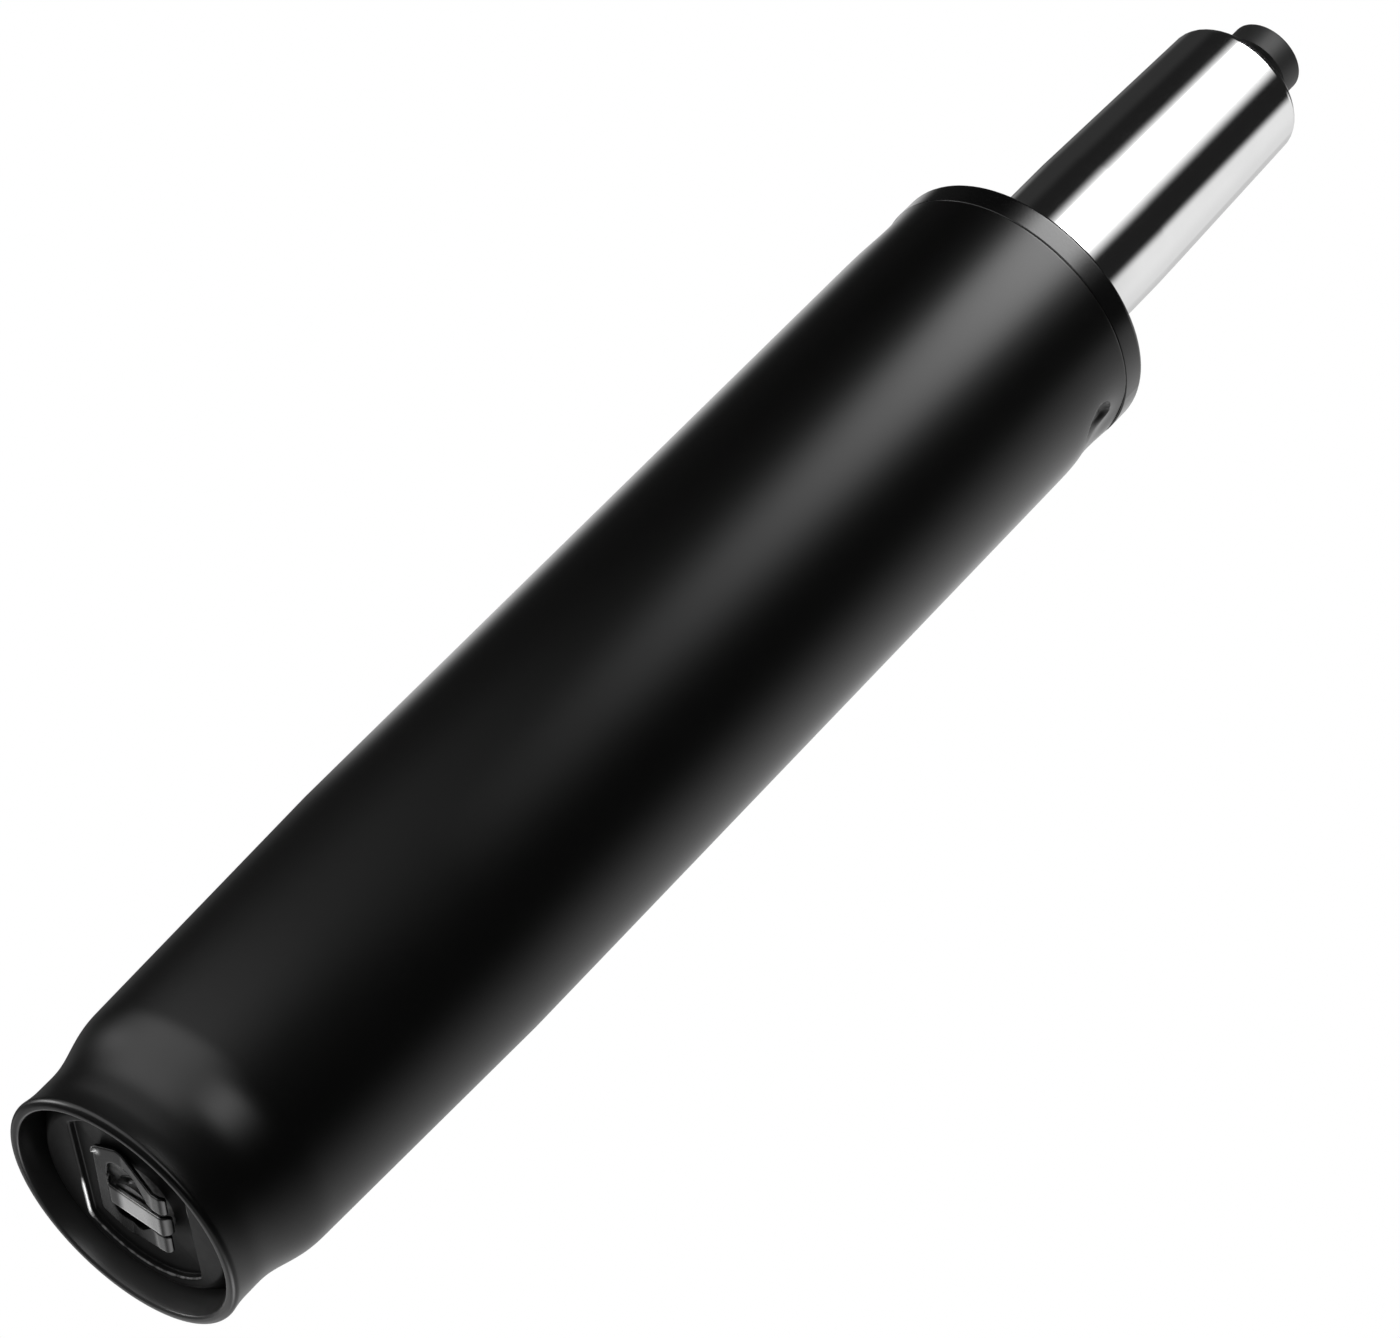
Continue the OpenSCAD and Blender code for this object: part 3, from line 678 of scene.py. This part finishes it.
def make_cup():
    """The cup, with its rubbed bright metal and painted highlights carried at each vertex."""
    rows = cup_rows()
    angles = [2.0 * math.pi * i / CUP_SIDES for i in range(CUP_SIDES)]
    verts, wear_and_painted_light = [], []
    for in_pocket, size, z, worn_and_lit in rows:
        for angle in angles:
            r = pocket_r(angle, size) if in_pocket else size
            verts.append((r * math.cos(angle), r * math.sin(angle), z))
            wear_and_painted_light.append(worn_and_lit * pocket_wear_and_highlight(angle, size) if in_pocket else worn_and_lit)
    piece = new_object("cup_skin", verts, ring_faces(len(rows), len(angles)))
    carry(piece, "wear_and_painted_light", wear_and_painted_light)
    shade_smooth(piece, 40.0)
    dress(piece, "cup_steel")
    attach(piece, "column")
    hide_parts("bearing_cup")


# Retaining clip: one stamped and bent strip with two arms and a tongue

def clip_outline():
    """The flat clip's closed outline with rounded corners, in metres."""
    half = [(Vector((u, v)) * MM, r * MM) for u, v, r in CLIP_CORNERS]
    corners = half + [(Vector((p.x, -p.y)), r) for p, r in reversed(half)]
    corners.reverse()
    points = []
    for i, (here, r) in enumerate(corners):
        back = (corners[i - 1][0] - here).normalized()
        on = (corners[(i + 1) % len(corners)][0] - here).normalized()
        half_angle = back.angle(on) / 2.0
        centre = here + (back + on).normalized() * r / math.sin(half_angle)
        first = here + back * r / math.tan(half_angle) - centre
        last = here + on * r / math.tan(half_angle) - centre
        start = math.atan2(first.y, first.x)
        sweep = math.remainder(math.atan2(last.y, last.x) - start, 2.0 * math.pi)
        steps = max(3, round(abs(sweep) * r / CLIP_ARC_STEP))
        for k in range(steps + 1):
            turn = start + sweep * k / steps
            points.append(centre + r * Vector((math.cos(turn), math.sin(turn))))
    outline = []
    for i, p in enumerate(points):
        q = points[(i + 1) % len(points)]
        step = CLIP_GRID / max((q - p).length, 1e-9)
        outline += [p.lerp(q, t) for t in spaced(0.0, 1.0, step)]
    return outline


def on_tongue(v):
    """Whether a point is on the tongue, and not on an arm."""
    return abs(v) < TONGUE_HALF + CLIP_SLIT / 2


def corner_distance(u, v):
    """Distance from the clip's knocked corner."""
    return math.hypot(u - KNOCK_U, v - KNOCK_V)


def clip_drop(u, v):
    """How far the bent clip's lower face lies below its flat closed end."""
    curl = TIP_CURL * max(0.0, (u - CURL_U) / (CLIP_REACH - CURL_U)) ** 2
    if on_tongue(v):
        drop = TONGUE_DROP * smooth_step((u - TONGUE_ROOT_U) / (TONGUE_LOCK_U - TONGUE_ROOT_U))
        lean = min(max(0.0, (u - TONGUE_LOCK_U) / (CURL_U - TONGUE_LOCK_U)), 1.0)
        return drop + TONGUE_DIP * lean - curl
    knock = KNOCK_HEIGHT * bell(corner_distance(u, v) / KNOCK_REACH)
    lean = min(max(0.0, (u - ARM_BEND_U) / (ARM_LOCK_U - ARM_BEND_U)), 1.0)
    return knock + ARM_DIP * lean - curl


def clip_wear_and_painted_light(u, v):
    """How bright the clip's metal is, partly rubbed and partly painted light: most along the tongue,
    least on the arm at +v, which is painted shade.
    """
    if on_tongue(v):
        # From its root along the tongue, then towards its tip, and painted shade under the curl
        wear_and_painted_light = mix(0.13, 1.0, edge(u, -1.7 * MM, 0.8 * MM))
        wear_and_painted_light = mix(wear_and_painted_light, 0.68, edge(u, 4.0 * MM, 1.5 * MM))
        return mix(wear_and_painted_light, 0.05, edge(u, 6.2 * MM, 0.3 * MM))
    # The closed end and the arms, with painted shade on the arm at +v, then towards the tips, and
    # painted shade under the curl
    wear_and_painted_light = mix(0.11, 0.0, edge(v, 3.0 * MM, 1.0 * MM) * edge(u, -4.5 * MM, 1.0 * MM))
    wear_and_painted_light = mix(wear_and_painted_light, 0.3, edge(u, 4.4 * MM, 0.5 * MM))
    wear_and_painted_light = mix(wear_and_painted_light, 0.05, edge(u, 6.3 * MM, 0.3 * MM))
    # Painted glint: the knocked corner's metal turned bright
    return max(wear_and_painted_light, bell(corner_distance(u, v) / KNOCK_RUB_AND_GLINT_REACH))


def clip_point(u, v, side_v, rise):
    """A point of the bent sheet, so far above its lower face. side_v says which strip it is on."""
    change = clip_drop(u + SLOPE_STEP, side_v) - clip_drop(u - SLOPE_STEP, side_v)
    lean = math.atan(change / (2.0 * SLOPE_STEP))
    x = u + rise * math.sin(lean)
    z = CLIP_Z - clip_drop(u, side_v) + rise * math.cos(lean)
    turned = Matrix.Rotation(CLIP_TURN, 2) @ Vector((x, v))
    return (turned.x, turned.y, z)


def inside(p, outline):
    """Whether a point is inside a closed outline."""
    result = False
    for i, a in enumerate(outline):
        b = outline[i - 1]
        if (a.y > p.y) != (b.y > p.y):
            crossing = (b.x - a.x) * (p.y - a.y) / (b.y - a.y) + a.x
            if p.x < crossing:
                result = not result
    return result


def clip_face(outline):
    """Points and triangles of the flat sheet inside an outline."""
    low_u, high_u = min(p.x for p in outline), max(p.x for p in outline)
    high_v = max(p.y for p in outline)
    grid = []
    for u in spaced(low_u, high_u, CLIP_GRID)[1:]:
        for v in spaced(-high_v, high_v, CLIP_GRID)[1:]:
            p = Vector((u, v))
            if inside(p, outline) and min((p - q).length for q in outline) > 0.6 * CLIP_GRID:
                grid.append(p)
    edges = [(i, (i + 1) % len(outline)) for i in range(len(outline))]
    result = delaunay_2d_cdt(outline + grid, edges, [], 1, 1e-9)
    return result[0], result[2]


def make_clip():
    """The clip: rounded edges round its outline, and its two faces."""
    outline = clip_outline()
    count = len(outline)
    outward = []
    for i in range(count):
        along = (outline[(i + 1) % count] - outline[i - 1]).normalized()
        outward.append(Vector((along.y, -along.x)))
    turns = quarter(CLIP_EDGE_STEPS)
    rows = [(CLIP_EDGE * (1.0 - sine), CLIP_EDGE * (1.0 - cosine)) for sine, cosine in turns]
    rows += [(inset, CLIP_T - rise) for inset, rise in reversed(rows)]
    verts, faces, wear_and_painted_light = [], [], []
    for inset, rise in rows:
        for p, out in zip(outline, outward):
            q = p - inset * out
            verts.append(clip_point(q.x, q.y, p.y, rise))
            wear_and_painted_light.append(clip_wear_and_painted_light(p.x, p.y))
    for i in range(len(rows) - 1):
        here, above = i * count, (i + 1) * count
        for j in range(count):
            right = (j + 1) % count
            faces.append((here + j, here + right, above + right, above + j))
    points, triangles = clip_face([p - CLIP_EDGE * out for p, out in zip(outline, outward)])
    for rise, flip in ((0.0, True), (CLIP_T, False)):
        first = len(verts)
        verts += [clip_point(p.x, p.y, p.y, rise) for p in points]
        wear_and_painted_light += [clip_wear_and_painted_light(p.x, p.y) for p in points]
        for face in triangles:
            order = reversed(face) if flip else face
            faces.append(tuple(first + k for k in order))
    piece = new_object("clip_spring", verts, faces)
    carry(piece, "wear_and_painted_light", wear_and_painted_light)
    weld(piece)
    shade_smooth(piece, 60.0)
    dress(piece, "clip_steel")
    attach(piece, "rod")
    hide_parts("retaining_clip")


# Stage: camera, white surroundings, one-sided floor, the dome and two lamps

def swing(a, b, turn):
    """Two directions at right angles, turned from a towards b."""
    return math.cos(turn) * a + math.sin(turn) * b, math.cos(turn) * b - math.sin(turn) * a


def make_camera():
    """The photograph's camera: its stand, then its roll, pan and tilt, then its turn round the part."""
    lean = math.radians(CAMERA_ELEVATION)
    side = Vector((1.0, 0.0, 0.0))
    up = Vector((0.0, math.sin(lean), math.cos(lean)))
    ahead = Vector((0.0, math.cos(lean), -math.sin(lean)))
    place = Vector((0.0, 0.0, CAMERA_TARGET_Z)) - CAMERA_DISTANCE * ahead
    side, up = swing(side, up, math.radians(CAMERA_ROLL))
    side, ahead = swing(side, ahead, math.atan2(CAMERA_PAN_PX, FOCAL_PX))
    ahead, up = swing(ahead, up, math.atan2(CAMERA_TILT_PX, FOCAL_PX))
    turn = Matrix.Rotation(math.radians(CAMERA_AZIMUTH), 4, "Z")
    stand = Matrix((side, up, -ahead)).transposed().to_4x4()
    stand.translation = place
    data = bpy.data.cameras.new("camera")
    data.sensor_width = SENSOR_MM
    data.lens = FOCAL_PX * SENSOR_MM / PHOTO_W
    data.clip_start = 0.01
    data.clip_end = 50.0
    camera = bpy.data.objects.new("camera", data)
    bpy.context.scene.collection.objects.link(camera)
    camera.matrix_world = turn @ stand
    bpy.context.scene.camera = camera


def seen_directly(nodes, links):
    """1 for camera, mirror and glass rays, 0 for the rest."""
    path = nodes.new("ShaderNodeLightPath")
    total = path.outputs["Is Camera Ray"]
    for name in ("Is Glossy Ray", "Is Transmission Ray"):
        total = calculate(nodes, links, "MAXIMUM", total, path.outputs[name])
    return total


def make_world():
    """White where it is seen or mirrored, and a lower even light on everything else."""
    world = bpy.data.worlds.new("white_studio")
    world.use_nodes = True
    nodes, links = world.node_tree.nodes, world.node_tree.links
    nodes.clear()
    background = nodes.new("ShaderNodeBackground")
    background.inputs["Color"].default_value = grey(1.0)
    level = between(nodes, links, seen_directly(nodes, links), AMBIENT, 1.0)
    links.new(level, background.inputs["Strength"])
    output = nodes.new("ShaderNodeOutputWorld")
    links.new(background.outputs["Background"], output.inputs["Surface"])
    bpy.context.scene.world = world


def make_floor():
    """A pale floor, clear from below and open under the mouth, as the photograph looks up into it."""
    verts = []
    for r in FLOOR_RINGS:
        for j in range(FLOOR_SIDES):
            a = 2.0 * math.pi * j / FLOOR_SIDES
            verts.append((r * math.cos(a), r * math.sin(a), 0.0))
    faces = ring_faces(len(FLOOR_RINGS), FLOOR_SIDES)[:-FLOOR_SIDES]
    floor = new_object("floor", verts, faces)
    material, nodes, links, output = new_material("floor_white")
    pale = nodes.new("ShaderNodeBsdfDiffuse")
    pale.inputs["Color"].default_value = grey(FLOOR_GREY)
    glow = nodes.new("ShaderNodeEmission")
    glow.inputs["Color"].default_value = grey(1.0)
    mix_light = nodes.new("ShaderNodeMixShader")
    mix_light.inputs["Fac"].default_value = FLOOR_GLOW
    links.new(pale.outputs["BSDF"], mix_light.inputs[1])
    links.new(glow.outputs["Emission"], mix_light.inputs[2])
    clear = nodes.new("ShaderNodeBsdfTransparent")
    facing = nodes.new("ShaderNodeNewGeometry")
    one_sided = nodes.new("ShaderNodeMixShader")
    links.new(facing.outputs["Backfacing"], one_sided.inputs["Fac"])
    links.new(mix_light.outputs["Shader"], one_sided.inputs[1])
    links.new(clear.outputs["BSDF"], one_sided.inputs[2])
    links.new(one_sided.outputs["Shader"], output.inputs["Surface"])
    floor.data.materials.append(material)
    floor.visible_shadow = False
    floor.visible_glossy = False


# Dome round the studio: bright cards, dark flags and the pale ground, which only reflections show

def studio_level(az, el):
    """Brightness of the dome at a turn and a tilt."""
    level = mix(0.015, 0.035, 1.0 - edge(az, -95.0, 10.0))
    for bright, az_low, az_high, az_soft, el_low, el_high, el_soft in FLAT_CARDS:
        level += bright * within(az, az_low, az_high, az_soft) * within(el, el_low, el_high, el_soft)
    for bright, az_mid, half_w, el_mid, half_h in SOFT_CARDS:
        level += bright * bell((az - az_mid) / half_w) * bell((el - el_mid) / half_h)
    # White frame of the softbox, the glow below it, and the ground on the left
    higher = edge(el, 56.0, 4.0)
    level += 1.2 * within(az, -51.0, 22.0 + 2.0 * higher, 10.0) * within(el, 47.0, 61.0, 1.6)
    level += 1.9 * bell((az + 15.0) / 21.0) * within(el, 32.0, 46.0, 4.0)
    level += 0.1 * edge(-el, 42.0, 6.0) * edge(-az, 15.0, 20.0)
    # White wall on the right
    in_chrome = edge(el, CHROME_TILT, CHROME_SOFT)
    wall = mix(0.5, 0.8, edge(el, 30.0, 15.0)) * edge(az, 86.0, 30.0)
    high_wall = mix(0.93, 0.8, edge(az, 115.0, 20.0)) * edge(az, 70.0 + 4.0 * higher, 8.0)
    level += mix(wall, high_wall, in_chrome)
    # Backdrop, brighter above the table's far edge, with a card low down in the middle
    low_back = mix(0.62, 0.12, edge(math.remainder(az - 180.0, 360.0), -3.0, 10.0))
    low_back *= mix(1.0, 0.15, edge(-el, 54.0, 8.0))
    low_back += 1.15 * bell((abs(az) - 180.0) / 20.0) * bell((el + 30.0) / 5.0)
    left_back = mix(low_back, 1.3, within(el, 23.0, 48.0, 3.0))
    right_back = mix(low_back, 1.1, edge(el, 30.0, 15.0))
    right_back = mix(right_back, 0.62, in_chrome)
    level = mix(level, left_back, edge(-az, 143.0, 10.0))
    level = mix(level, right_back, edge(az, 145.0, 10.0))
    # Dark overhead, beyond the softbox and the wall
    return mix(level, 0.02, edge(el, 70.0, 4.0))


def make_dome():
    """A closed ball round the part, which glows as bright as the studio is in each direction."""
    turns = spaced(-180.0, 180.0, DOME_STEP)
    tilts = spaced(-90.0, 90.0, DOME_STEP)[1:]
    verts, levels = [], []
    for el in tilts:
        reach = DOME_R * math.cos(math.radians(el))
        z = DOME_Z + DOME_R * math.sin(math.radians(el))
        for az in turns:
            a = math.radians(CAMERA_AZIMUTH + az)
            verts.append((reach * math.sin(a), -reach * math.cos(a), z))
            levels.append(studio_level(az, el))
    across = len(turns)
    faces = ring_faces(len(tilts), across)[:-across]
    for row, el, height in ((0, -90.0, -DOME_R), (len(tilts) - 1, 90.0, DOME_R)):
        verts.append((0.0, 0.0, DOME_Z + height))
        levels.append(studio_level(0.0, el))
        first, tip = row * across, len(verts) - 1
        faces += [(first + j, first + (j + 1) % across, tip) for j in range(across)]
    dome = new_object("dome", verts, faces)
    carry(dome, "level", levels)
    material, nodes, links, output = new_material("dome")
    glow = nodes.new("ShaderNodeEmission")
    glow.inputs["Color"].default_value = grey(1.0)
    links.new(attribute(nodes, "level"), glow.inputs["Strength"])
    links.new(glow.outputs["Emission"], output.inputs["Surface"])
    dome.data.materials.append(material)
    dome.visible_camera = False
    dome.visible_diffuse = False
    dome.visible_shadow = False
    dome.visible_transmission = False


def make_lamp(name, turn_deg, height, distance, size, watts):
    """A square lamp that reflections do not show."""
    a = math.radians(CAMERA_AZIMUTH + turn_deg)
    data = bpy.data.lights.new(name, "AREA")
    data.shape = "SQUARE"
    data.size = size
    data.energy = watts
    lamp = bpy.data.objects.new(name, data)
    lamp.location = (distance * math.sin(a), -distance * math.cos(a), height)
    aim = LAMP_AIM - lamp.location
    lamp.rotation_mode = "QUATERNION"
    lamp.rotation_quaternion = aim.to_track_quat("-Z", "Y")
    lamp.visible_glossy = False
    lamp.visible_camera = False
    bpy.context.scene.collection.objects.link(lamp)


def dress_frame():
    """Every CAD node that shows takes the material of its own slot."""
    for part in frame["record"]["subparts"]:
        dress(frame["nodes"][part["node"]], part["material_slot"])


dress_frame()
make_column()
make_cup()
make_clip()
make_camera()
make_world()
make_floor()
make_dome()
for lamp_values in LAMPS:
    make_lamp(*lamp_values)

bpy.context.scene.view_settings.view_transform = "Standard"
